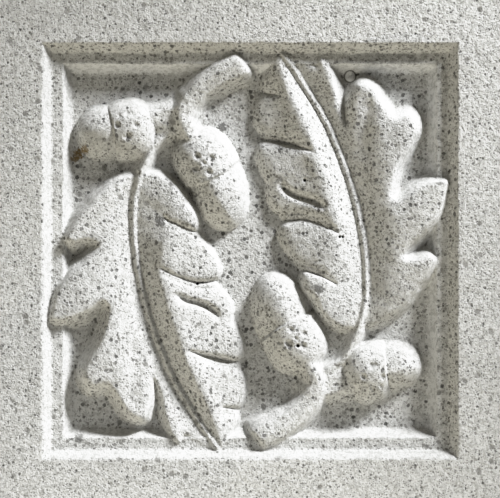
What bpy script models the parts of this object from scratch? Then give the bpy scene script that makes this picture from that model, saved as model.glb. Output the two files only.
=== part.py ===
"""Architectural medallion: a square block of cast stone with two oak leaves and four acorns in a sunk panel.

The middle of the flat back is at the origin. The carved face looks towards -Y, with +X to the right and +Z up.
"""
import bpy
import numpy as np

# The block and the stepped frame of its panel, in metres.
SIDE = 0.305
THICKNESS = 0.050
BORDER = 0.0277
BEVEL_WIDTH = 0.0054
BEVEL_DEPTH = 0.0065
LEDGE_WIDTH = 0.0066
COVE_WIDTH = 0.0066
COVE_DEPTH = 0.0096

# The carving is drawn on squared paper, with this many squares from the middle to the edge of the opening.
# Its points are (right, up) from the middle, its heights are above the sunk field, and all are in squares.
SQUARES = 208
MIDRIB = [(-109, 80), (-116, 52), (-117, 25), (-114, -10), (-106, -50), (-93, -90), (-76, -130), (-52, -170),
          (-33, -198)]
LEFT_LOBES = [
    [(-117, 77), (-134, 70), (-152, 56), (-168, 38), (-180, 21), (-184, 12), (-178, 8), (-166, 11)],
    [(-153, 7), (-161, -6), (-176, -20), (-190, -36), (-198, -55), (-200, -69), (-190, -70), (-168, -63),
     (-148, -51)],
    [(-142, -56), (-147, -84), (-158, -106), (-166, -124), (-160, -136), (-143, -134), (-132, -148),
     (-120, -165), (-107, -168), (-101, -156)],
    [(-97, -128), (-90, -142), (-85, -164), (-78, -186), (-71, -192), (-66, -185)],
    [(-56, -190), (-44, -197), (-32, -200)],
]
RIGHT_LOBES = [
    [(-25, -193), (-17, -180), (-12, -166), (-17, -160)],
    [(-28, -157), (-12, -156), (-5, -142), (-6, -126), (-14, -116), (-36, -112)],
    [(-60, -101), (-36, -105), (-12, -108), (-6, -96), (-12, -80), (-19, -68)],
    [(-18, -54), (-24, -42), (-36, -34), (-56, -33)],
    [(-88, -18), (-72, -26), (-50, -30), (-33, -26), (-30, -15), (-40, 3), (-53, 16), (-68, 23)],
    [(-86, 33), (-70, 26), (-55, 22), (-53, 30), (-62, 48), (-75, 66), (-92, 77)],
]
CREASE = [(-78, -42), (-64, -50), (-50, -54), (-38, -60), (-30, -70)]
FURROW = [(-111, -88), (-116, -120), (-117, -160)]
LEAF_STALK = [(-109, 80), (-103, 93), (-98, 103), (-90, 112), (-78, 119)]
TWIG = [(-1, 198), (-13, 188), (-27, 181), (-43, 171), (-56, 159), (-65, 146), (-68, 133), (-61, 116)]
TWIG_END = (-9, 190)
AXIL = (-81, 127)
ACORN_STALK = [(-104, 135), (-92, 139), (-78, 142), (-62, 144)]
# Where the second sprig differs from the first after its half turn: (right, up, reach, move right, move up).
NUDGES = [(200, 61, 22, -3, 0), (180, -29, 34, 1, 4), (106, 166, 14, 3, -2), (156, -140, 20, -3, 7)]

# The front is sampled on a fine grid, then thinned to this share of its triangles.
FIELD_STEPS = 100
KEPT_SHARE = 0.096

OPENING = SIDE / 2 - BORDER
SQUARE = OPENING / SQUARES
FIELD_LEVEL = THICKNESS - BEVEL_DEPTH - COVE_DEPTH


def clear_scene():
    """Remove whatever the open file holds."""
    for thing in list(bpy.data.objects):
        bpy.data.objects.remove(thing, do_unlink=True)


def spline(points, spans=6, closed=False):
    """Return a smooth curve through the points, as short straight spans."""
    p = np.array(points, float)
    if closed:
        p = np.vstack([p[-1], p, p[0], p[1]])
    else:
        p = np.vstack([2 * p[0] - p[1], p, 2 * p[-1] - p[-2]])
    curve = []
    for a, b, c, d in zip(p, p[1:], p[2:], p[3:]):
        ta = np.linalg.norm(b - a) ** 0.5
        tb = ta + np.linalg.norm(c - b) ** 0.5
        tc = tb + np.linalg.norm(d - c) ** 0.5
        for t in np.linspace(ta, tb, spans, endpoint=False):
            ab = a + (b - a) * (t / ta)
            bc = b + (c - b) * ((t - ta) / (tb - ta))
            cd = c + (d - c) * ((t - tb) / (tc - tb))
            abc = ab + (bc - ab) * (t / tb)
            bcd = bc + (cd - bc) * ((t - ta) / (tc - ta))
            curve.append(abc + (bcd - abc) * ((t - ta) / (tb - ta)))
    if not closed:
        curve.append(p[-2])
    return np.array(curve)


def measure(x, z, path):
    """Return the distance to a path, the share of its length at the nearest point, and its side.

    The side is +1 on the left of the path and -1 on its right, and turns smoothly around the ends.
    """
    best = np.full(x.shape, 1e9)
    share = np.zeros(x.shape)
    side = np.zeros(x.shape)
    lengths = np.linalg.norm(np.diff(path, axis=0), axis=1)
    start = 0.0
    for a, b, length in zip(path, path[1:], lengths):
        run = (b - a) / length
        k = np.clip((x - a[0]) * run[0] + (z - a[1]) * run[1], 0, length)
        gap = (x - a[0] - k * run[0]) ** 2 + (z - a[1] - k * run[1]) ** 2
        near = gap < best
        best = np.where(near, gap, best)
        share = np.where(near, (start + k) / lengths.sum(), share)
        offset = run[0] * (z - a[1]) - run[1] * (x - a[0])
        side = np.where(near, offset / np.sqrt(gap + 1e-9), side)
        start += length
    return np.sqrt(best), share, side


def depth_inside(x, z, loop):
    """Return the distance to a closed outline, positive inside it."""
    inside = np.zeros(x.shape, bool)
    for a, b in zip(loop, np.roll(loop, -1, axis=0)):
        if a[1] != b[1]:
            crossing = (b[0] - a[0]) * (z - a[1]) / (b[1] - a[1]) + a[0]
            inside ^= ((a[1] > z) != (b[1] > z)) & (x < crossing)
    distance = measure(x, z, np.vstack([loop, loop[:1]]))[0]
    return np.where(inside, distance, -distance)


def join(a, b, fillet):
    """Return the higher of two heights, with a fillet where they cross."""
    t = np.clip(fillet - np.abs(a - b), 0, None) / fillet
    return np.maximum(a, b) + t * t * fillet / 4


def meet(a, b, rounding):
    """Return the lower of two heights, rounded where they cross."""
    return -join(-a, -b, rounding)


def along(share, *values):
    """Return a value that changes along a path, given at even steps of its length."""
    return np.interp(share, np.linspace(0, 1, len(values)), values)


def ridge(x, z, points, crest, rounding, slopes, shoulders=((0,), (0,))):
    """A twig or stalk: a rounded crest, and on its left and its right a shoulder and then a slope."""
    d, t, side = measure(x, z, spline(points))
    r = along(t, *rounding)
    falls = []
    for slope, shoulder in zip(slopes, shoulders):
        past = np.clip(d - along(t, *shoulder), 0, None)
        falls.append(slope * (np.sqrt(past * past + r * r) - r) + 0.25 * (d - past))
    return along(t, *crest) - falls[1] + (falls[1] - falls[0]) * (1 + side) / 2


def groove(x, z, points, width, depth):
    """The depth of a carved groove that fades out at both ends."""
    d, t, _ = measure(x, z, spline(points))
    return depth * np.clip(5 * np.minimum(t, 1 - t), 0, 1) * np.exp(-(d / width) ** 2)


def drop(inset, slope, rounding):
    """How far a surface falls at its edge: nothing well inside it, and at a slope outside it."""
    return slope / 2 * (np.sqrt(inset ** 2 + rounding ** 2) - inset)


def leaf(x, z):
    """An oak leaf: a beaded midrib in a valley, lobes that rise from it to a brow, and steep edges."""
    d, t, side = measure(x, z, spline(MIDRIB))
    outline = spline([point for lobe in LEFT_LOBES + RIGHT_LOBES for point in lobe], 4, closed=True)
    valley = along(t, 14, 9, 7.5, 7, 7, 7, 8, 11, 18)
    floor = along(t, 5.5, 5.2, 5.0, 4.7, 3.8)
    crest = along(t, 19, 24, 24.5, 24.5, 24.5, 24.5, 24.5, 23.5, 22)
    reach = along(t, 42, 58, 34, 26, 25, 25, 23, 19, 11)
    right_floor = 0.68 * floor
    past = np.clip(d - reach, -6, None)
    outer = crest - along(t, 2, 2, 4, 5, 5, 6, 7, 8, 8) * (1 - np.exp(-past / 8)) - 0.18 * past
    inner = valley + (crest - valley) * np.clip(d - right_floor, 0, None) / (reach - right_floor)
    right_half = meet(inner, outer, 13)
    brow = along(t, 14, 18.5, 20.5, 21, 21, 21, 21, 21, 21)
    spread = along(t, 9, 18, 24, 27, 28, 28, 27, 24, 14)
    plateau = meet(brow + 0.14 * (d - spread), 25.6, 2)
    inner = valley + (brow - valley) * np.clip(d - floor, 0, None) / (spread - floor)
    left_half = meet(inner, plateau, 8)
    top = left_half + (right_half - left_half) * (1 + side) / 2
    top = join(top, valley + 2.6 - 1.3 * (np.sqrt(d * d + 4) - 2), 0.8)
    top = top - groove(x, z, CREASE, 3.6, 6.5) - groove(x, z, FURROW, 8, 3)
    upper_edges = drop(depth_inside(x - 3, z + 6, outline), 0.85, 5)
    top = top - along(t, 0, 0.2, 1, 1, 1, 1, 1, 1, 1) * upper_edges * np.clip((side * d - 12) / 12, 0, 1)
    return top - drop(depth_inside(x, z, outline) - 0.5, 2.3, 2.5)


def egg(x, z, centre, angle, length, width, top, sunk, blunt=2.0):
    """Part of an egg that lies along an angle: its top's height, and how far its middle is below the field."""
    cosine, sine = np.cos(np.radians(angle)), np.sin(np.radians(angle))
    forward = (x - centre[0]) * cosine + (z - centre[1]) * sine
    across = (z - centre[1]) * cosine - (x - centre[0]) * sine
    q = np.abs(forward / length) ** blunt + (across / width) ** 2
    rise = np.where(q < 1, np.sqrt(np.clip(1 - q, 0, None)), 2 * (1 - q))
    return (top + sunk) * rise - sunk, forward, across


def acorn(x, z, cup, nut, rim, bow, keel, lip):
    """A keeled nut in a cup that ends in a lipped rim, a step above the nut; bow bends the rim."""
    shell, forward, across = egg(x, z, *cup)
    kernel = egg(x, z, *nut)[0] - keel * (np.sqrt((across + 5) ** 2 + 2) - 1.4)
    past_rim = forward - rim - bow * across ** 2
    shell = shell + lip * np.exp(-((past_rim + 1) / 1.5) ** 2) - 2.5 * np.clip(past_rim, 0, None)
    return join(shell, kernel, 1)


def corner_acorn(x, z):
    """The acorn that points into the corner."""
    cup = (-122, 122), 190, 29, 33, 25.5, 5, 2.6
    nut = (-146, 119), 190, 30, 30, 22, 4, 2.1
    return acorn(x, z, cup, nut, 14, 0.004, 0.15, 0.2)


def middle_acorn(x, z):
    """The larger acorn that hangs beside the middle."""
    cup = (-44, 88), -62, 38, 32.5, 25.5, 6, 2.8
    nut = (-31, 62), -76, 43, 31, 25, 5, 2.0
    return acorn(x, z, cup, nut, 17, -0.006, 0.13, 1)


def twig(x, z):
    """The twig that carries the leaf and the acorns, from its cut end at the frame to the middle acorn."""
    run = np.subtract(TWIG[0], TWIG[1]) / np.linalg.norm(np.subtract(TWIG[0], TWIG[1]))
    inset = (TWIG_END[0] - x) * run[0] + (TWIG_END[1] - z) * run[1]
    height = ridge(x, z, TWIG, [24, 24, 23, 22, 21, 20, 20, 19], [3, 3, 5], (2.1, 2.4), ((11, 10, 8, 3), (7, 6, 4, 1)))
    return height - drop(inset, 2.4, 2)


def sprig(x, z):
    """Half of the carving: one leaf, its twig and two acorns."""
    height = leaf(x, z)
    height = join(height, ridge(x, z, LEAF_STALK, [15, 15, 14.5, 13.5, 11], [3, 3, 3, 4, 5], (1.5, 2.2)), 5)
    height = join(height, twig(x, z), 3)
    height = join(height, ridge(x, z, ACORN_STALK, [16, 13.5, 14, 16], [6, 6, 6], (1.6, 0.75)), 6)
    height = join(height, egg(x, z, AXIL, 0, 26, 15, 13, 4)[0], 8)
    height = join(height, corner_acorn(x, z), 4)
    return join(height, middle_acorn(x, z), 5)


def nudged(x, z):
    """Return where the second sprig's places would be without its nudges."""
    pulls = [np.exp(-((x - right) ** 2 + (z - up) ** 2) / reach ** 2) for right, up, reach, _, _ in NUDGES]
    move_x = sum(pull * nudge[3] for pull, nudge in zip(pulls, NUDGES))
    move_z = sum(pull * nudge[4] for pull, nudge in zip(pulls, NUDGES))
    return x - move_x, z - move_z


def frame(x, z):
    """The height of the bevel, ledge and cove around the field, in metres above the field."""
    inset = OPENING - np.maximum(np.abs(x), np.abs(z))
    bevel = COVE_DEPTH + BEVEL_DEPTH * (1 - np.clip(inset / BEVEL_WIDTH, 0, 1))
    share = np.clip((inset - BEVEL_WIDTH - LEDGE_WIDTH) / COVE_WIDTH, 0, 1)
    return np.where(inset < BEVEL_WIDTH, bevel, COVE_DEPTH * (1 - share) ** 1.6)


def face_height(x, z):
    """The height of the whole face above the field: the frame, the sprig and the sprig after a half turn."""
    u, v = x / SQUARE, z / SQUARE
    height = join(frame(x, z) / SQUARE, sprig(u, v), 4)
    u, v = nudged(u, v)
    return join(height, sprig(-u, -v), 4) * SQUARE


def grid_lines():
    """Distances of the grid's lines from the middle: on each crease of the frame, and evenly between."""
    widths = [COVE_WIDTH, LEDGE_WIDTH, BEVEL_WIDTH]
    creases = [0, OPENING - sum(widths)] + [OPENING - sum(widths) + sum(widths[:k]) for k in (1, 2, 3)]
    steps = [FIELD_STEPS, 4, 4, 3]
    half = [np.linspace(a, b, n, endpoint=False) for a, b, n in zip(creases, creases[1:], steps)]
    half = np.concatenate(half + [[OPENING, SIDE / 2]])
    return np.concatenate([-half[:0:-1], half])


def build_block(material):
    """The block as one closed solid: the carved front on its grid, four sides and the back."""
    lines = grid_lines()
    n = len(lines)
    x, z = np.meshgrid(lines, lines)
    y = -(FIELD_LEVEL + face_height(x, z))
    points = np.column_stack([x.ravel(), y.ravel(), z.ravel()]).tolist()
    faces = []
    for row in range(n - 1):
        for column in range(n - 1):
            a = row * n + column
            b, c, d = a + 1, a + n + 1, a + n
            if (lines[row] + lines[row + 1]) * (lines[column] + lines[column + 1]) > 0:
                faces += [(a, b, c), (a, c, d)]
            else:
                faces += [(a, b, d), (b, c, d)]
    half = SIDE / 2
    back = len(points)
    points += [(-half, 0, -half), (half, 0, -half), (half, 0, half), (-half, 0, half)]
    bottom = list(range(n))
    right = [row * n + n - 1 for row in range(n)]
    top = [n * n - 1 - k for k in range(n)]
    left = [(n - 1 - row) * n for row in range(n)]
    for k, edge in enumerate((bottom, right, top, left)):
        faces.append(tuple(reversed(edge)) + (back + k, back + (k + 1) % 4))
    faces.append((back + 3, back + 2, back + 1, back))
    mesh = bpy.data.meshes.new("medallion")
    mesh.from_pydata(points, [], faces)
    mesh.materials.append(material)
    block = bpy.data.objects.new("medallion", mesh)
    bpy.context.collection.objects.link(block)
    thin = block.modifiers.new("thin", "DECIMATE")
    thin.ratio = KEPT_SHARE
    return block


def make_stone():
    """Pale cast stone: white cement with grey sand."""
    stone = bpy.data.materials.new("cast_stone")
    stone.use_nodes = True
    shader = stone.node_tree.nodes["Principled BSDF"]
    shader.inputs["Base Color"].default_value = (0.62, 0.61, 0.59, 1)
    shader.inputs["Roughness"].default_value = 0.9
    shader.inputs["Metallic"].default_value = 0.0
    return stone


clear_scene()
build_block(make_stone())
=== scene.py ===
"""Dresses the architectural medallion: the carved cast stone, its surface, the camera and the light."""
import math

import bpy
import numpy as np
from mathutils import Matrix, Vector


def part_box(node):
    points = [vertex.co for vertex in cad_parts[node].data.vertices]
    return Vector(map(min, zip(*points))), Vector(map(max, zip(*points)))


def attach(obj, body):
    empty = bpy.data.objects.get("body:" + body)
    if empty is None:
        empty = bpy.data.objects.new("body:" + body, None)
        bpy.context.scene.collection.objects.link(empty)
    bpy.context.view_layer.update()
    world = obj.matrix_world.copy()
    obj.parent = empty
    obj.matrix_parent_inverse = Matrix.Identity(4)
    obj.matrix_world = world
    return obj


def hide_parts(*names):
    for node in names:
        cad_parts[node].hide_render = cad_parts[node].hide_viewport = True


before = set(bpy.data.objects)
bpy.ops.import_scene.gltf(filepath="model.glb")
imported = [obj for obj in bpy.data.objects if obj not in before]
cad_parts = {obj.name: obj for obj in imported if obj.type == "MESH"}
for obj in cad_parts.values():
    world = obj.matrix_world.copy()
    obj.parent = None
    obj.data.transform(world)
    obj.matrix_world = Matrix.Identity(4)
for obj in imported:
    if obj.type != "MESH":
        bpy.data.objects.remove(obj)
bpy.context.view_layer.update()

# The block and the stepped frame of its panel, in metres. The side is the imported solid's own.
LOW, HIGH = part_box("medallion")
SIDE = HIGH[0] - LOW[0]
THICKNESS = 0.050
BORDER = 0.0277
BEVEL_WIDTH = 0.0054
BEVEL_DEPTH = 0.0065
LEDGE_WIDTH = 0.0066
COVE_WIDTH = 0.0066
COVE_DEPTH = 0.0096
ARRIS = 0.0012

# The carving is drawn on squared paper, with this many squares from the middle to the edge of the opening.
# Its points are (right, up) from the middle, its heights are above the sunk field, and all are in squares.
SQUARES = 208
MIDRIB = [(-109, 80), (-116, 52), (-117, 25), (-114, -10), (-106, -50), (-93, -90), (-76, -130), (-52, -170),
          (-33, -198)]
LEFT_LOBES = [
    [(-117, 77), (-134, 70), (-152, 56), (-168, 38), (-180, 21), (-184, 12), (-178, 8), (-166, 11)],
    [(-153, 7), (-161, -6), (-176, -20), (-190, -36), (-198, -55), (-200, -69), (-190, -70), (-168, -63),
     (-148, -51)],
    [(-142, -56), (-147, -84), (-158, -106), (-166, -124), (-160, -136), (-143, -134), (-132, -148),
     (-120, -165), (-107, -168), (-101, -156)],
    [(-97, -128), (-90, -142), (-85, -164), (-78, -186), (-71, -192), (-66, -185)],
    [(-56, -190), (-44, -197), (-32, -200)],
]
RIGHT_LOBES = [
    [(-25, -193), (-17, -180), (-12, -166), (-17, -160)],
    [(-28, -157), (-12, -156), (-5, -142), (-6, -126), (-14, -116), (-36, -112)],
    [(-60, -101), (-36, -105), (-12, -108), (-6, -96), (-12, -80), (-19, -68)],
    [(-18, -54), (-24, -42), (-36, -34), (-56, -33)],
    [(-88, -18), (-72, -26), (-50, -30), (-33, -26), (-30, -15), (-40, 3), (-53, 16), (-68, 23)],
    [(-86, 33), (-70, 26), (-55, 22), (-53, 30), (-62, 48), (-75, 66), (-92, 77)],
]
CREASE = [(-78, -42), (-64, -50), (-50, -54), (-38, -60), (-30, -70)]
FURROW = [(-111, -88), (-116, -120), (-117, -160)]
LEAF_STALK = [(-109, 80), (-103, 93), (-98, 103), (-90, 112), (-78, 119)]
TWIG = [(-1, 198), (-13, 188), (-27, 181), (-43, 171), (-56, 159), (-65, 146), (-68, 133), (-61, 116)]
TWIG_END = (-9, 190)
AXIL = (-81, 127)
ACORN_STALK = [(-104, 135), (-92, 139), (-78, 142), (-62, 144)]
# Where the second sprig differs from the first after its half turn: (right, up, reach, move right, move up).
NUDGES = [(200, 61, 22, -3, 0), (180, -29, 34, 1, 4), (106, 166, 14, 3, -2), (156, -140, 20, -3, 7)]

# Small marks of the cast, in squares: (right, up, radius, depth), a height for the nodule, and no depth
# for stains and chips. Both sprigs have the pits in their cups, the second one after its half turn.
CUP_PITS = [(-133, 126, 3, 2.2), (-122, 115, 3, 2.4), (-114, 126, 2.6, 1.8), (-123, 138, 2.2, 1.4),
            (-125, 114, 2.2, 1.6), (-131, 135, 2, 1.2), (-116, 136, 1.8, 1), (-53, 95, 3, 2.6),
            (-39, 93, 3.2, 2.6), (-54, 83, 3, 2.4), (-41, 79, 2.8, 2.2), (-56, 66, 2.6, 1.8),
            (-22, 84, 2.4, 1.4), (-46, 88, 2, 1.4), (-30, 92, 2, 1.2)]
PINHOLES = [(55, 71, 1.5, 3.5), (90, 14, 1.4, 3), (93, 14, 1.3, 3), (48, -95, 1.8, 4), (-53, -33, 1.5, 4)]
NODULE = (101, 176, 5.5, 2.5)
STAINS = [(-166, 103, 2.5), (-170, 100, 3.2), (-174, 97, 3.2), (-177, 93, 2.5)]
CHIPS = [(69, -38, 3.5), (-90, 29, 4), (-28, 124, 3.5), (-172, -189, 3.5)]

# The mesh: the step of its grid before it is thinned, its triangles after that, and how soft its creases are.
GRID_STEP = 0.00053
TRIANGLES = 190000
SOFTNESS = 0.0012

# The stone's colours, from its cement to its marks.
CEMENT = (0.59, 0.588, 0.575, 1), (0.65, 0.65, 0.64, 1)
GREY_PATCH = (0.42, 0.418, 0.405, 1)
# A khaki tint, painted as shade on the slopes turned away from the key light.
SHADE_KHAKI = (0.50, 0.485, 0.44, 1)
# The tones of the dark specks that are painted as shade on slopes turned away from the key light.
SHADE_SPECK_TONES = (0.07, 0.065, 0.05, 1), (0.26, 0.25, 0.22, 1)
STAIN_BROWN = (0.17, 0.11, 0.035, 1)
CHIP_GREY = (0.17, 0.168, 0.16, 1)
# Painted shade in the acorn cups' pits, darker the deeper the pit.
PIT_SHADE = (0.03, 0.028, 0.022, 1)
# Painted shade: the pinholes near black.
PINHOLE_SHADE = (0.004, 0.004, 0.003, 1)
NODULE_GREY = (0.62, 0.62, 0.61, 1)
# Painted shade in the groove around the nodule.
NODULE_RING_SHADE = (0.10, 0.10, 0.09, 1)

# The sand, in layers: (cell in metres, share of cells with a grain, smallest and largest radius as shares
# of the cell, darkest and palest tone). The specks, one more layer, are painted shade on slopes turned from
# the key.
SAND = [(0.0011, 0.66, 0.20, 0.50, 0.16, 0.50), (0.0024, 0.46, 0.16, 0.44, 0.18, 0.40),
        (0.0034, 0.48, 0.14, 0.36, 0.06, 0.18), (0.0080, 0.26, 0.10, 0.24, 0.20, 0.32)]
SHADE_SPECKS = (0.0019, 0.55, 0.16, 0.42)

# The photograph: its width in squares, and how many squares its middle lies above the block's.
PHOTO_WIDTH = 500
PHOTO_RISE = 2

# The direction on the face that the key light comes from; the slopes turned away from it get painted shade.
KEY_LIGHT_FROM = (0.64, 0.77)

OPENING = SIDE / 2 - BORDER
SQUARE = OPENING / SQUARES
FIELD_LEVEL = THICKNESS - BEVEL_DEPTH - COVE_DEPTH


def spline(points, spans=6, closed=False):
    """Return a smooth curve through the points, as short straight spans."""
    p = np.array(points, float)
    if closed:
        p = np.vstack([p[-1], p, p[0], p[1]])
    else:
        p = np.vstack([2 * p[0] - p[1], p, 2 * p[-1] - p[-2]])
    curve = []
    for a, b, c, d in zip(p, p[1:], p[2:], p[3:]):
        ta = np.linalg.norm(b - a) ** 0.5
        tb = ta + np.linalg.norm(c - b) ** 0.5
        tc = tb + np.linalg.norm(d - c) ** 0.5
        for t in np.linspace(ta, tb, spans, endpoint=False):
            ab = a + (b - a) * (t / ta)
            bc = b + (c - b) * ((t - ta) / (tb - ta))
            cd = c + (d - c) * ((t - tb) / (tc - tb))
            abc = ab + (bc - ab) * (t / tb)
            bcd = bc + (cd - bc) * ((t - ta) / (tc - ta))
            curve.append(abc + (bcd - abc) * ((t - ta) / (tb - ta)))
    if not closed:
        curve.append(p[-2])
    return np.array(curve)


def measure(x, z, path):
    """Return the distance to a path, the share of its length at the nearest point, and its side.

    The side is +1 on the left of the path and -1 on its right, and turns smoothly around the ends.
    """
    best = np.full(x.shape, 1e9)
    share = np.zeros(x.shape)
    side = np.zeros(x.shape)
    lengths = np.linalg.norm(np.diff(path, axis=0), axis=1)
    start = 0.0
    for a, b, length in zip(path, path[1:], lengths):
        run = (b - a) / length
        k = np.clip((x - a[0]) * run[0] + (z - a[1]) * run[1], 0, length)
        gap = (x - a[0] - k * run[0]) ** 2 + (z - a[1] - k * run[1]) ** 2
        near = gap < best
        best = np.where(near, gap, best)
        share = np.where(near, (start + k) / lengths.sum(), share)
        offset = run[0] * (z - a[1]) - run[1] * (x - a[0])
        side = np.where(near, offset / np.sqrt(gap + 1e-9), side)
        start += length
    return np.sqrt(best), share, side


def depth_inside(x, z, loop):
    """Return the distance to a closed outline, positive inside it."""
    inside = np.zeros(x.shape, bool)
    for a, b in zip(loop, np.roll(loop, -1, axis=0)):
        if a[1] != b[1]:
            crossing = (b[0] - a[0]) * (z - a[1]) / (b[1] - a[1]) + a[0]
            inside ^= ((a[1] > z) != (b[1] > z)) & (x < crossing)
    distance = measure(x, z, np.vstack([loop, loop[:1]]))[0]
    return np.where(inside, distance, -distance)


def join(a, b, fillet):
    """Return the higher of two heights, with a fillet where they cross."""
    t = np.clip(fillet - np.abs(a - b), 0, None) / fillet
    return np.maximum(a, b) + t * t * fillet / 4


def meet(a, b, rounding):
    """Return the lower of two heights, rounded where they cross."""
    return -join(-a, -b, rounding)


def along(share, *values):
    """Return a value that changes along a path, given at even steps of its length."""
    return np.interp(share, np.linspace(0, 1, len(values)), values)


def ridge(x, z, points, crest, rounding, slopes, shoulders=((0,), (0,))):
    """A twig or stalk: a rounded crest, and on its left and its right a shoulder and then a slope."""
    d, t, side = measure(x, z, spline(points))
    r = along(t, *rounding)
    falls = []
    for slope, shoulder in zip(slopes, shoulders):
        past = np.clip(d - along(t, *shoulder), 0, None)
        falls.append(slope * (np.sqrt(past * past + r * r) - r) + 0.25 * (d - past))
    return along(t, *crest) - falls[1] + (falls[1] - falls[0]) * (1 + side) / 2


def groove(x, z, points, width, depth):
    """The depth of a carved groove that fades out at both ends."""
    d, t, _ = measure(x, z, spline(points))
    return depth * np.clip(5 * np.minimum(t, 1 - t), 0, 1) * np.exp(-(d / width) ** 2)


def drop(inset, slope, rounding):
    """How far a surface falls at its edge: nothing well inside it, and at a slope outside it."""
    return slope / 2 * (np.sqrt(inset ** 2 + rounding ** 2) - inset)


def leaf(x, z):
    """An oak leaf: a beaded midrib in a valley, lobes that rise from it to a brow, and steep edges.

    The lists run along the midrib from the stalk to the tip. The leaf's right half has a crest, which the
    slope from the valley reaches, and its left half a brow, from which a plateau spreads.
    """
    d, t, side = measure(x, z, spline(MIDRIB))
    outline = spline([point for lobe in LEFT_LOBES + RIGHT_LOBES for point in lobe], 4, closed=True)
    valley = along(t, 14, 9, 7.5, 7, 7, 7, 8, 11, 18)
    floor = along(t, 5.5, 5.2, 5.0, 4.7, 3.8)
    crest = along(t, 19, 24, 24.5, 24.5, 24.5, 24.5, 24.5, 23.5, 22)
    reach = along(t, 42, 58, 34, 26, 25, 25, 23, 19, 11)
    right_floor = 0.68 * floor
    past = np.clip(d - reach, -6, None)
    outer = crest - along(t, 2, 2, 4, 5, 5, 6, 7, 8, 8) * (1 - np.exp(-past / 8)) - 0.18 * past
    inner = valley + (crest - valley) * np.clip(d - right_floor, 0, None) / (reach - right_floor)
    right_half = meet(inner, outer, 13)
    brow = along(t, 14, 18.5, 20.5, 21, 21, 21, 21, 21, 21)
    spread = along(t, 9, 18, 24, 27, 28, 28, 27, 24, 14)
    plateau = meet(brow + 0.14 * (d - spread), 25.6, 2)
    inner = valley + (brow - valley) * np.clip(d - floor, 0, None) / (spread - floor)
    left_half = meet(inner, plateau, 8)
    top = left_half + (right_half - left_half) * (1 + side) / 2
    top = join(top, valley + 2.6 - 1.3 * (np.sqrt(d * d + 4) - 2), 0.8)
    top = top - groove(x, z, CREASE, 3.6, 6.5) - groove(x, z, FURROW, 8, 3)
    upper_edges = drop(depth_inside(x - 3, z + 6, outline), 0.85, 5)
    share = along(t, 0, 0.2, 1, 1, 1, 1, 1, 1, 1) * np.clip((side * d - 12) / 12, 0, 1)
    top = top - share * upper_edges
    return top - drop(depth_inside(x, z, outline) - 0.5, 2.3, 2.5)


def egg(x, z, centre, angle, length, width, top, sunk, blunt=2.0):
    """Part of an egg that lies along an angle: its top's height, and how far sunk its middle is."""
    cosine, sine = np.cos(np.radians(angle)), np.sin(np.radians(angle))
    forward = (x - centre[0]) * cosine + (z - centre[1]) * sine
    across = (z - centre[1]) * cosine - (x - centre[0]) * sine
    q = np.abs(forward / length) ** blunt + (across / width) ** 2
    rise = np.where(q < 1, np.sqrt(np.clip(1 - q, 0, None)), 2 * (1 - q))
    return (top + sunk) * rise - sunk, forward, across


def acorn(x, z, cup, nut, rim, bow, keel, lip):
    """A keeled nut in a cup that ends in a lipped rim, a step above the nut; bow bends the rim."""
    shell, forward, across = egg(x, z, *cup)
    kernel = egg(x, z, *nut)[0] - keel * (np.sqrt((across + 5) ** 2 + 2) - 1.4)
    past_rim = forward - rim - bow * across ** 2
    shell = shell + lip * np.exp(-((past_rim + 1) / 1.5) ** 2) - 2.5 * np.clip(past_rim, 0, None)
    return join(shell, kernel, 1)


def corner_acorn(x, z):
    """The acorn that points into the corner."""
    cup = (-122, 122), 190, 29, 33, 25.5, 5, 2.6
    nut = (-146, 119), 190, 30, 30, 22, 4, 2.1
    return acorn(x, z, cup, nut, 14, 0.004, 0.15, 0.2)


def middle_acorn(x, z):
    """The larger acorn that hangs beside the middle."""
    cup = (-44, 88), -62, 38, 32.5, 25.5, 6, 2.8
    nut = (-31, 62), -76, 43, 31, 25, 5, 2.0
    return acorn(x, z, cup, nut, 17, -0.006, 0.13, 1)


def twig(x, z):
    """The twig that carries the leaf and the acorns, from its cut end at the frame to the middle acorn."""
    run = np.subtract(TWIG[0], TWIG[1]) / np.linalg.norm(np.subtract(TWIG[0], TWIG[1]))
    inset = (TWIG_END[0] - x) * run[0] + (TWIG_END[1] - z) * run[1]
    shoulders = (11, 10, 8, 3), (7, 6, 4, 1)
    height = ridge(x, z, TWIG, [24, 24, 23, 22, 21, 20, 20, 19], [3, 3, 5], (2.1, 2.4), shoulders)
    return height - drop(inset, 2.4, 2)


def sprig(x, z):
    """Half of the carving: one leaf, its twig and two acorns."""
    height = leaf(x, z)
    height = join(height, ridge(x, z, LEAF_STALK, [15, 15, 14.5, 13.5, 11], [3, 3, 3, 4, 5], (1.5, 2.2)), 5)
    height = join(height, twig(x, z), 3)
    height = join(height, ridge(x, z, ACORN_STALK, [16, 13.5, 14, 16], [6, 6, 6], (1.6, 0.75)), 6)
    height = join(height, egg(x, z, AXIL, 0, 26, 15, 13, 4)[0], 8)
    height = join(height, corner_acorn(x, z), 4)
    return join(height, middle_acorn(x, z), 5)


def nudged(x, z):
    """Return where the second sprig's places would be without its nudges."""
    pulls = [np.exp(-((x - right) ** 2 + (z - up) ** 2) / reach ** 2) for right, up, reach, _, _ in NUDGES]
    move_x = sum(pull * nudge[3] for pull, nudge in zip(pulls, NUDGES))
    move_z = sum(pull * nudge[4] for pull, nudge in zip(pulls, NUDGES))
    return x - move_x, z - move_z


def ripple(x, z, size, seed):
    """Smooth random waves between -1 and 1, about one wave for each size."""
    count = 400
    knots = np.random.default_rng(seed).uniform(-1, 1, (count, count))
    u, v = x / size + count / 2, z / size + count / 2
    i, j = np.floor(u).astype(int), np.floor(v).astype(int)
    s, t = u - i, v - j
    s, t = s * s * (3 - 2 * s), t * t * (3 - 2 * t)
    low = knots[j, i] * (1 - s) + knots[j, i + 1] * s
    high = knots[j + 1, i] * (1 - s) + knots[j + 1, i + 1] * s
    return low * (1 - t) + high * t


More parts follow.
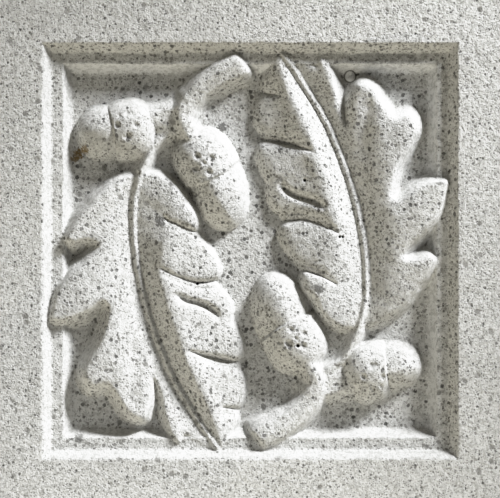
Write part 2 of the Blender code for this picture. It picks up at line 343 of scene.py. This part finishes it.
def frame_height(x, z):
    """The height of the bevel, ledge and cove above the field, in metres, with soft creases."""
    inset = OPENING - np.maximum(np.abs(x), np.abs(z))
    inset = inset + 0.0002 * ripple(x, z, 0.007, 1) + 0.0001 * ripple(x, z, 0.0025, 2)
    bevel = COVE_DEPTH + BEVEL_DEPTH * (1 - inset / BEVEL_WIDTH)
    bevel = join(meet(bevel, COVE_DEPTH + BEVEL_DEPTH, SOFTNESS), COVE_DEPTH, SOFTNESS)
    share = np.clip((inset - BEVEL_WIDTH - LEDGE_WIDTH) / COVE_WIDTH, 0, 1)
    cove = meet(COVE_DEPTH * 1.06 * (1 - share) ** 1.6, COVE_DEPTH, SOFTNESS)
    return np.where(inset < BEVEL_WIDTH + LEDGE_WIDTH / 2, bevel, join(cove, 0, SOFTNESS * 2 / 3))


def dents(u, v, marks):
    """The depth of small round pits, in squares."""
    depth = np.zeros(u.shape)
    for right, up, radius, deep in marks:
        depth = np.maximum(depth, deep * np.exp(-(((u - right) ** 2 + (v - up) ** 2) / radius ** 2) ** 1.5))
    return depth


def face_height(x, z):
    """The height of the whole face above the field, with its small unevenness."""
    u, v = x / SQUARE, z / SQUARE
    wobble_u = u + 0.5 * ripple(u, v, 9, 3)
    wobble_v = v + 0.5 * ripple(u, v, 9, 4)
    height = join(frame_height(x, z) / SQUARE, sprig(wobble_u, wobble_v), 4)
    wobble_u, wobble_v = nudged(wobble_u, wobble_v)
    height = join(height, sprig(-wobble_u, -wobble_v), 4)
    raised = np.clip(height / 6, 0, 1)
    height = height + raised * (0.35 * ripple(u, v, 14, 5) + 0.2 * ripple(u, v, 6, 6))
    for turn in (1, -1):
        height = height - dents(turn * u, turn * v, CUP_PITS)
    height = height - dents(u, v, PINHOLES)
    right, up, radius, tall = NODULE
    away = np.hypot(u - right, v - up) / radius
    height = height + tall * np.sqrt(np.clip(1 - away ** 2, 0, 1)) - 0.9 * np.exp(-((away - 1.2) / 0.2) ** 2)
    return np.minimum(height * SQUARE, BEVEL_DEPTH + COVE_DEPTH)


def grid_lines():
    """Distances of the grid's lines from the middle: on each crease of the frame, and evenly between."""
    widths = [COVE_WIDTH, LEDGE_WIDTH, BEVEL_WIDTH]
    creases = [0, OPENING - sum(widths)] + [OPENING - sum(widths) + sum(widths[:k]) for k in (1, 2, 3)]
    creases += [OPENING + 0.0015, SIDE / 2 - ARRIS]
    half = []
    for a, b in zip(creases, creases[1:]):
        step = GRID_STEP if a <= OPENING else 4 * GRID_STEP
        half.append(np.linspace(a, b, max(2, round((b - a) / step)), endpoint=False))
    half = np.concatenate(half + [[creases[-1]]])
    return np.concatenate([-half[:0:-1], half])


def lay_face(lines, height):
    """The face on its grid: its points, its triangles and the ring of points around its edge."""
    n = len(lines)
    x, z = np.meshgrid(lines, lines)
    points = np.column_stack([x.ravel(), -(FIELD_LEVEL + height).ravel(), z.ravel()])
    index = np.arange(n * n).reshape(n, n)
    a, b, c, d = (part.ravel() for part in (index[:-1, :-1], index[:-1, 1:], index[1:, 1:], index[1:, :-1]))
    middle = (lines[:-1] + lines[1:]) / 2
    rising = np.multiply.outer(middle, middle).ravel() > 0
    faces = [np.column_stack([a, b, np.where(rising, c, d)]), np.column_stack([np.where(rising, a, b), c, d])]
    ring = np.concatenate([index[0, :-1], index[:-1, -1], index[-1, :0:-1], index[:0:-1, 0]])
    return points, faces, ring


def add_sides(face_points, faces, ring):
    """Close the block behind its face: a rounded arris, the sides, another rounded arris and the back."""
    rim = face_points[ring]
    points = [face_points]
    last, total = ring, len(face_points)
    turns = [math.radians(k) for k in (22.5, 45, 67.5, 90)]
    loops = [(ARRIS * (1 - math.sin(t)), -THICKNESS + ARRIS * (1 - math.cos(t))) for t in turns]
    loops += [(ARRIS * (1 - math.cos(t)), -ARRIS * (1 - math.sin(t))) for t in [0] + turns]
    for inset, y in loops:
        scale = (SIDE / 2 - inset) / (SIDE / 2 - ARRIS)
        points.append(np.column_stack([rim[:, 0] * scale, np.full(len(rim), y), rim[:, 2] * scale]))
        new = np.arange(total, total + len(rim))
        total += len(rim)
        next_last, next_new = np.roll(last, -1), np.roll(new, -1)
        faces += [np.column_stack([last, new, next_new]), np.column_stack([last, next_new, next_last])]
        last = new
    points.append([[0, 0, 0]])
    faces.append(np.column_stack([last, np.full(len(last), total), np.roll(last, -1)]))
    return np.vstack(points), np.vstack(faces)


def thin_out(block):
    """Thin the block's mesh to its triangles, with normals that follow the larger ones."""
    mesh = block.data
    thin = block.modifiers.new("thin", "DECIMATE")
    thin.ratio = TRIANGLES / len(mesh.polygons)
    weigh = block.modifiers.new("normals", "WEIGHTED_NORMAL")
    weigh.weight = 80
    mesh.shade_smooth()
    depsgraph = bpy.context.evaluated_depsgraph_get()
    finished = bpy.data.meshes.new_from_object(block.evaluated_get(depsgraph))
    block.modifiers.clear()
    block.data = finished
    bpy.data.meshes.remove(mesh)


def build_block():
    """The carved block, made on a fine grid and then thinned."""
    lines = grid_lines()
    height = face_height(*np.meshgrid(lines, lines))
    points, faces = add_sides(*lay_face(lines, height))
    mesh = bpy.data.meshes.new("carved_block")
    mesh.from_pydata(points, [], faces)
    block = bpy.data.objects.new("carved_block", mesh)
    bpy.context.collection.objects.link(block)
    thin_out(block)
    store_slope_and_shade(block, lines, height)
    return block


def store_slope_and_shade(block, lines, height):
    """Store on each point how steep the face is, and the painted shade of slopes turned from the key light
    and of pits.
    """
    rise_z, rise_x = np.gradient(height, lines, lines)
    steep = np.clip(np.hypot(rise_x, rise_z), 0, 1)
    away = (rise_x * KEY_LIGHT_FROM[0] + rise_z * KEY_LIGHT_FROM[1]) / np.sqrt(1 + rise_x ** 2 + rise_z ** 2)
    # Painted shade: how far each slope turns away from the key light.
    painted_shade = np.clip(1.6 * away, 0, 1)
    x, z = np.meshgrid(lines, lines)
    inset = OPENING - np.maximum(np.abs(x), np.abs(z))
    # The coves that the carving leaves bare get no painted shade.
    bare_cove = np.abs(inset - BEVEL_WIDTH - LEDGE_WIDTH - COVE_WIDTH / 2) < COVE_WIDTH / 2
    bare_cove &= height - frame_height(x, z) < 0.0008
    painted_shade = np.where(bare_cove, 0, painted_shade)
    co = np.empty(len(block.data.vertices) * 3)
    block.data.vertices.foreach_get("co", co)
    co = co.reshape(-1, 3)
    i = np.clip(np.rint(np.interp(co[:, 0], lines, np.arange(len(lines)))).astype(int), 0, len(lines) - 1)
    j = np.clip(np.rint(np.interp(co[:, 2], lines, np.arange(len(lines)))).astype(int), 0, len(lines) - 1)
    u, v = co[:, 0] / SQUARE, co[:, 2] / SQUARE
    # Painted shade in the cup pits, darker the deeper they are.
    pit_shade = np.clip(0.12 * (dents(u, v, CUP_PITS) + dents(-u, -v, CUP_PITS)), 0, 1)
    on_face = co[:, 1] < -FIELD_LEVEL + 0.001
    for name, values in (("slope", steep[j, i]), ("painted_shade", painted_shade[j, i]), ("pit_shade", pit_shade)):
        attribute = block.data.attributes.new(name, "FLOAT", "POINT")
        attribute.data.foreach_set("value", np.where(on_face, values, 0))


class Nodes:
    """A short way to write a material's nodes."""

    def __init__(self, material):
        material.use_nodes = True
        self.tree = material.node_tree
        self.shader = self.tree.nodes["Principled BSDF"]

    def add(self, kind, values=None, **settings):
        node = self.tree.nodes.new(kind)
        for name, value in settings.items():
            setattr(node, name, value)
        for name, value in (values or {}).items():
            self.put(value, node.inputs[name])
        return node

    def put(self, value, socket):
        if isinstance(value, bpy.types.NodeSocket):
            self.tree.links.new(value, socket)
        else:
            socket.default_value = value

    def attribute(self, name):
        return self.add("ShaderNodeAttribute", attribute_name=name).outputs["Fac"]

    def vector(self, operation, a, b):
        return self.add("ShaderNodeVectorMath", {0: a, 1: b}, operation=operation)

    def math(self, operation, a, b=0.0, c=0.0):
        return self.add("ShaderNodeMath", {0: a, 1: b, 2: c}, operation=operation).outputs[0]

    def ramp(self, value, low, high, to_low=0.0, to_high=1.0):
        values = {"Value": value, "From Min": low, "From Max": high, "To Min": to_low, "To Max": to_high}
        return self.add("ShaderNodeMapRange", values, interpolation_type="SMOOTHSTEP").outputs[0]

    def mix(self, share, a, b):
        node = self.add("ShaderNodeMix", data_type="RGBA")
        for value, socket in zip((share, a, b), (node.inputs[0], node.inputs[6], node.inputs[7])):
            self.put(value, socket)
        return node.outputs[2]

    def noise(self, place, size, detail=3.0, roughness=0.6):
        values = {"Vector": place, "Scale": 1 / size, "Detail": detail, "Roughness": roughness}
        return self.add("ShaderNodeTexNoise", values).outputs[0]


def grains(nodes, place, size, share, smallest, largest, edge=0.08):
    """Sand grains in a share of the cells, at most one in each. Returns a mask and the cell's tone."""
    cells = nodes.add("ShaderNodeTexVoronoi", {"Vector": place, "Scale": 1 / size, "Randomness": 1.0})
    tones = nodes.add("ShaderNodeSeparateColor", {"Color": cells.outputs["Color"]})
    present = nodes.math("LESS_THAN", tones.outputs[0], share)
    radius = nodes.math("MULTIPLY_ADD", tones.outputs[1], largest - smallest, smallest)
    gap = nodes.math("SUBTRACT", cells.outputs["Distance"], radius)
    mask = nodes.math("MULTIPLY", nodes.ramp(gap, -edge, edge, 1.0, 0.0), present)
    return mask, tones.outputs[2]


def away_from(nodes, place, right, up):
    """The distance on the face from the middle of a mark, in metres."""
    flat_place = nodes.vector("MULTIPLY", place, (1, 0, 1)).outputs[0]
    return nodes.vector("DISTANCE", flat_place, (right * SQUARE, 0, up * SQUARE)).outputs["Value"]


def paint_sand(nodes, colour, depth, bent, painted_shade):
    """Scatter the sand, less of it on steep slopes; as painted shade, more sand and dark specks on slopes
    turned from the key.
    """
    flat = nodes.ramp(nodes.attribute("slope"), 0.8, 1.0, 1.0, 0.25)
    # Painted shade: slopes turned away from the key light keep as much sand as flat ones.
    flat = nodes.math("MAXIMUM", flat, nodes.math("MINIMUM", nodes.math("MULTIPLY", painted_shade, 1.6), 1.0))
    for size, share, small, large, dark, pale in SAND:
        mask, tone = grains(nodes, bent, size, share, small, large)
        mask = nodes.math("MULTIPLY", mask, flat)
        grain = nodes.mix(tone, (dark, dark * 0.98, dark * 0.92, 1), (pale, pale * 0.985, pale * 0.94, 1))
        colour = nodes.mix(nodes.math("MULTIPLY", mask, 0.9), colour, grain)
        depth = nodes.math("SUBTRACT", depth, nodes.math("MULTIPLY", mask, 0.4))
    # Painted shade: dark specks only on the slopes turned away from the key light.
    mask, tone = grains(nodes, bent, *SHADE_SPECKS)
    mask = nodes.math("MULTIPLY", mask, nodes.ramp(painted_shade, 0.1, 0.5, 0.0, 0.85))
    return nodes.mix(mask, colour, nodes.mix(tone, *SHADE_SPECK_TONES)), depth


def paint_marks(nodes, colour, place, bent):
    """Paint the stains, chips and nodule, and painted shade in the pits, pinholes and the nodule's ring, all
    on the front alone.
    """
    y = nodes.add("ShaderNodeSeparateXYZ", {"Vector": place}).outputs[1]
    front = nodes.math("LESS_THAN", y, -THICKNESS / 2)

    def paint(colour, inside, tint):
        return nodes.mix(nodes.math("MULTIPLY", inside, front), colour, tint)

    ragged = nodes.math("MULTIPLY_ADD", nodes.noise(place, 0.0016), 16 * SQUARE, -8 * SQUARE)
    for marks, tint, share in ((STAINS, STAIN_BROWN, 0.75), (CHIPS, CHIP_GREY, 0.95)):
        for right, up, radius in marks:
            away = nodes.math("ADD", away_from(nodes, bent, right, up), ragged)
            inside = nodes.ramp(away, radius * SQUARE, (radius + 2) * SQUARE, share, 0.0)
            colour = paint(colour, inside, tint)
    # Painted shade in the cup pits.
    colour = nodes.mix(nodes.attribute("pit_shade"), colour, PIT_SHADE)
    # Painted shade: each pinhole near black.
    for right, up, radius, _ in PINHOLES:
        away = away_from(nodes, place, right, up)
        inside = nodes.ramp(away, (radius - 0.4) * SQUARE, (radius + 0.4) * SQUARE, 1.0, 0.0)
        colour = paint(colour, inside, PINHOLE_SHADE)
    right, up, radius, _ = NODULE
    away = away_from(nodes, place, right, up)
    colour = paint(colour, nodes.ramp(away, (radius - 1) * SQUARE, radius * SQUARE, 0.9, 0.0), NODULE_GREY)
    # Painted shade in the ring around the nodule.
    past_ring = nodes.math("ABSOLUTE", nodes.math("SUBTRACT", away, (radius + 0.3) * SQUARE))
    return paint(colour, nodes.ramp(past_ring, 0.2 * SQUARE, 1.1 * SQUARE, 0.85, 0.0), NODULE_RING_SHADE)


def make_stone():
    """Pale cast stone: white cement with grey sand, painted khaki shade on slopes turned from the key light,
    and its marks.
    """
    stone = bpy.data.materials.new("cast_stone_surface")
    nodes = Nodes(stone)
    place = nodes.add("ShaderNodeTexCoord").outputs["Object"]
    warp = nodes.add("ShaderNodeTexNoise", {"Vector": place, "Scale": 900.0, "Detail": 2.0})
    shift = nodes.vector("SUBTRACT", warp.outputs[1], (0.5, 0.5, 0.5)).outputs[0]
    shift = nodes.add("ShaderNodeVectorMath", {0: shift, 3: 0.0014}, operation="SCALE").outputs[0]
    bent = nodes.vector("ADD", place, shift).outputs[0]
    painted_shade = nodes.attribute("painted_shade")

    cloud = nodes.noise(place, 0.03, 4.0)
    grit = nodes.noise(place, 0.0011, 2.0, 0.7)
    coarse = nodes.noise(place, 0.0028, 2.0, 0.6)
    depth = nodes.math("ADD", grit, nodes.math("MULTIPLY", coarse, 0.8))
    colour = nodes.mix(nodes.ramp(cloud, 0.3, 0.7), *CEMENT)
    colour = nodes.mix(nodes.math("MULTIPLY", nodes.ramp(coarse, 0.50, 0.58), 0.7), colour, GREY_PATCH)
    # Painted shade: a khaki tint on the slopes turned away from the key light.
    colour = nodes.mix(nodes.math("MULTIPLY", painted_shade, 0.5), colour, SHADE_KHAKI)
    colour, depth = paint_sand(nodes, colour, depth, bent, painted_shade)
    colour = paint_marks(nodes, colour, place, bent)

    nodes.put(colour, nodes.shader.inputs["Base Color"])
    nodes.put(nodes.ramp(cloud, 0.3, 0.7, 0.82, 0.95), nodes.shader.inputs["Roughness"])
    nodes.shader.inputs["Specular IOR Level"].default_value = 0.3
    bump = nodes.add("ShaderNodeBump", {"Height": depth, "Strength": 0.9, "Distance": 0.0008})
    nodes.put(bump.outputs[0], nodes.shader.inputs["Normal"])
    return stone


def add_floor():
    """A plain pale floor under the block, which lets the light from below through, as a light table does."""
    half, z = 1.5, LOW[2] - 0.0005
    corners = [(-half, -half, z), (half, -half, z), (half, half, z), (-half, half, z)]
    mesh = bpy.data.meshes.new("floor")
    mesh.from_pydata(corners, [], [(0, 1, 2, 3)])
    floor = bpy.data.objects.new("floor", mesh)
    bpy.context.collection.objects.link(floor)
    pale = bpy.data.materials.new("floor")
    pale.use_nodes = True
    shader = pale.node_tree.nodes["Principled BSDF"]
    shader.inputs["Base Color"].default_value = (0.42, 0.41, 0.38, 1)
    shader.inputs["Roughness"].default_value = 0.9
    mesh.materials.append(pale)
    floor.visible_shadow = False


def add_light(name, kind, turn, rise, distance, power, colour):
    """A light aimed at the face, from an angle around it (from +X towards +Z) and an angle above it."""
    turn, rise = math.radians(turn), math.radians(rise)
    towards = Vector((math.cos(turn) * math.cos(rise), -math.sin(rise), math.sin(turn) * math.cos(rise)))
    light = bpy.data.lights.new(name, kind)
    light.energy = power
    light.color = colour
    lamp = bpy.data.objects.new(name, light)
    lamp.location = Vector((0, -THICKNESS, 0)) + towards * distance
    lamp.rotation_euler = towards.to_track_quat("Z", "Y").to_euler()
    bpy.context.collection.objects.link(lamp)
    return light


def add_lights():
    """A raking key from the upper right, a wide warm fill from below, and a low even surround."""
    key = add_light("key", "SPOT", 48, 17, 2.1, 512, (0.97, 0.985, 1.0))
    key.shadow_soft_size = 0.24
    key.spot_size = math.radians(17)
    key.spot_blend = 0.25
    fill = add_light("fill", "SUN", 247, 16, 2.1, 2.1, (1.0, 0.945, 0.77))
    fill.angle = math.radians(60)
    world = bpy.data.worlds.new("surround")
    world.use_nodes = True
    background = world.node_tree.nodes["Background"]
    background.inputs["Color"].default_value = (1.0, 0.94, 0.78, 1)
    background.inputs["Strength"].default_value = 0.12
    bpy.context.scene.world = world


def add_camera():
    """Straight in front, with the photograph's width across the plane of the border."""
    data = bpy.data.cameras.new("camera")
    data.lens = 200
    distance = PHOTO_WIDTH * SQUARE * data.lens / data.sensor_width
    camera = bpy.data.objects.new("camera", data)
    camera.location = (0, -THICKNESS - distance, PHOTO_RISE * SQUARE)
    camera.rotation_euler = (math.radians(90), 0, 0)
    bpy.context.collection.objects.link(camera)
    bpy.context.scene.camera = camera


def soften_highlights():
    """A plain view of the colours, with a shoulder that keeps the brightest slopes from burning out."""
    view = bpy.context.scene.view_settings
    view.view_transform = "Standard"
    view.use_curve_mapping = True
    view.curve_mapping.white_level = (2, 2, 2)
    curve = view.curve_mapping.curves[3]
    for x, y in ((0.15, 0.30), (0.3, 0.60), (0.42, 0.81), (0.55, 0.94), (0.7, 0.99)):
        curve.points.new(x, y)
    view.curve_mapping.update()


block = build_block()
block.data.materials.clear()
block.data.materials.append(make_stone())
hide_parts("medallion")
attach(block, "root")
add_floor()
add_lights()
add_camera()
soften_highlights()
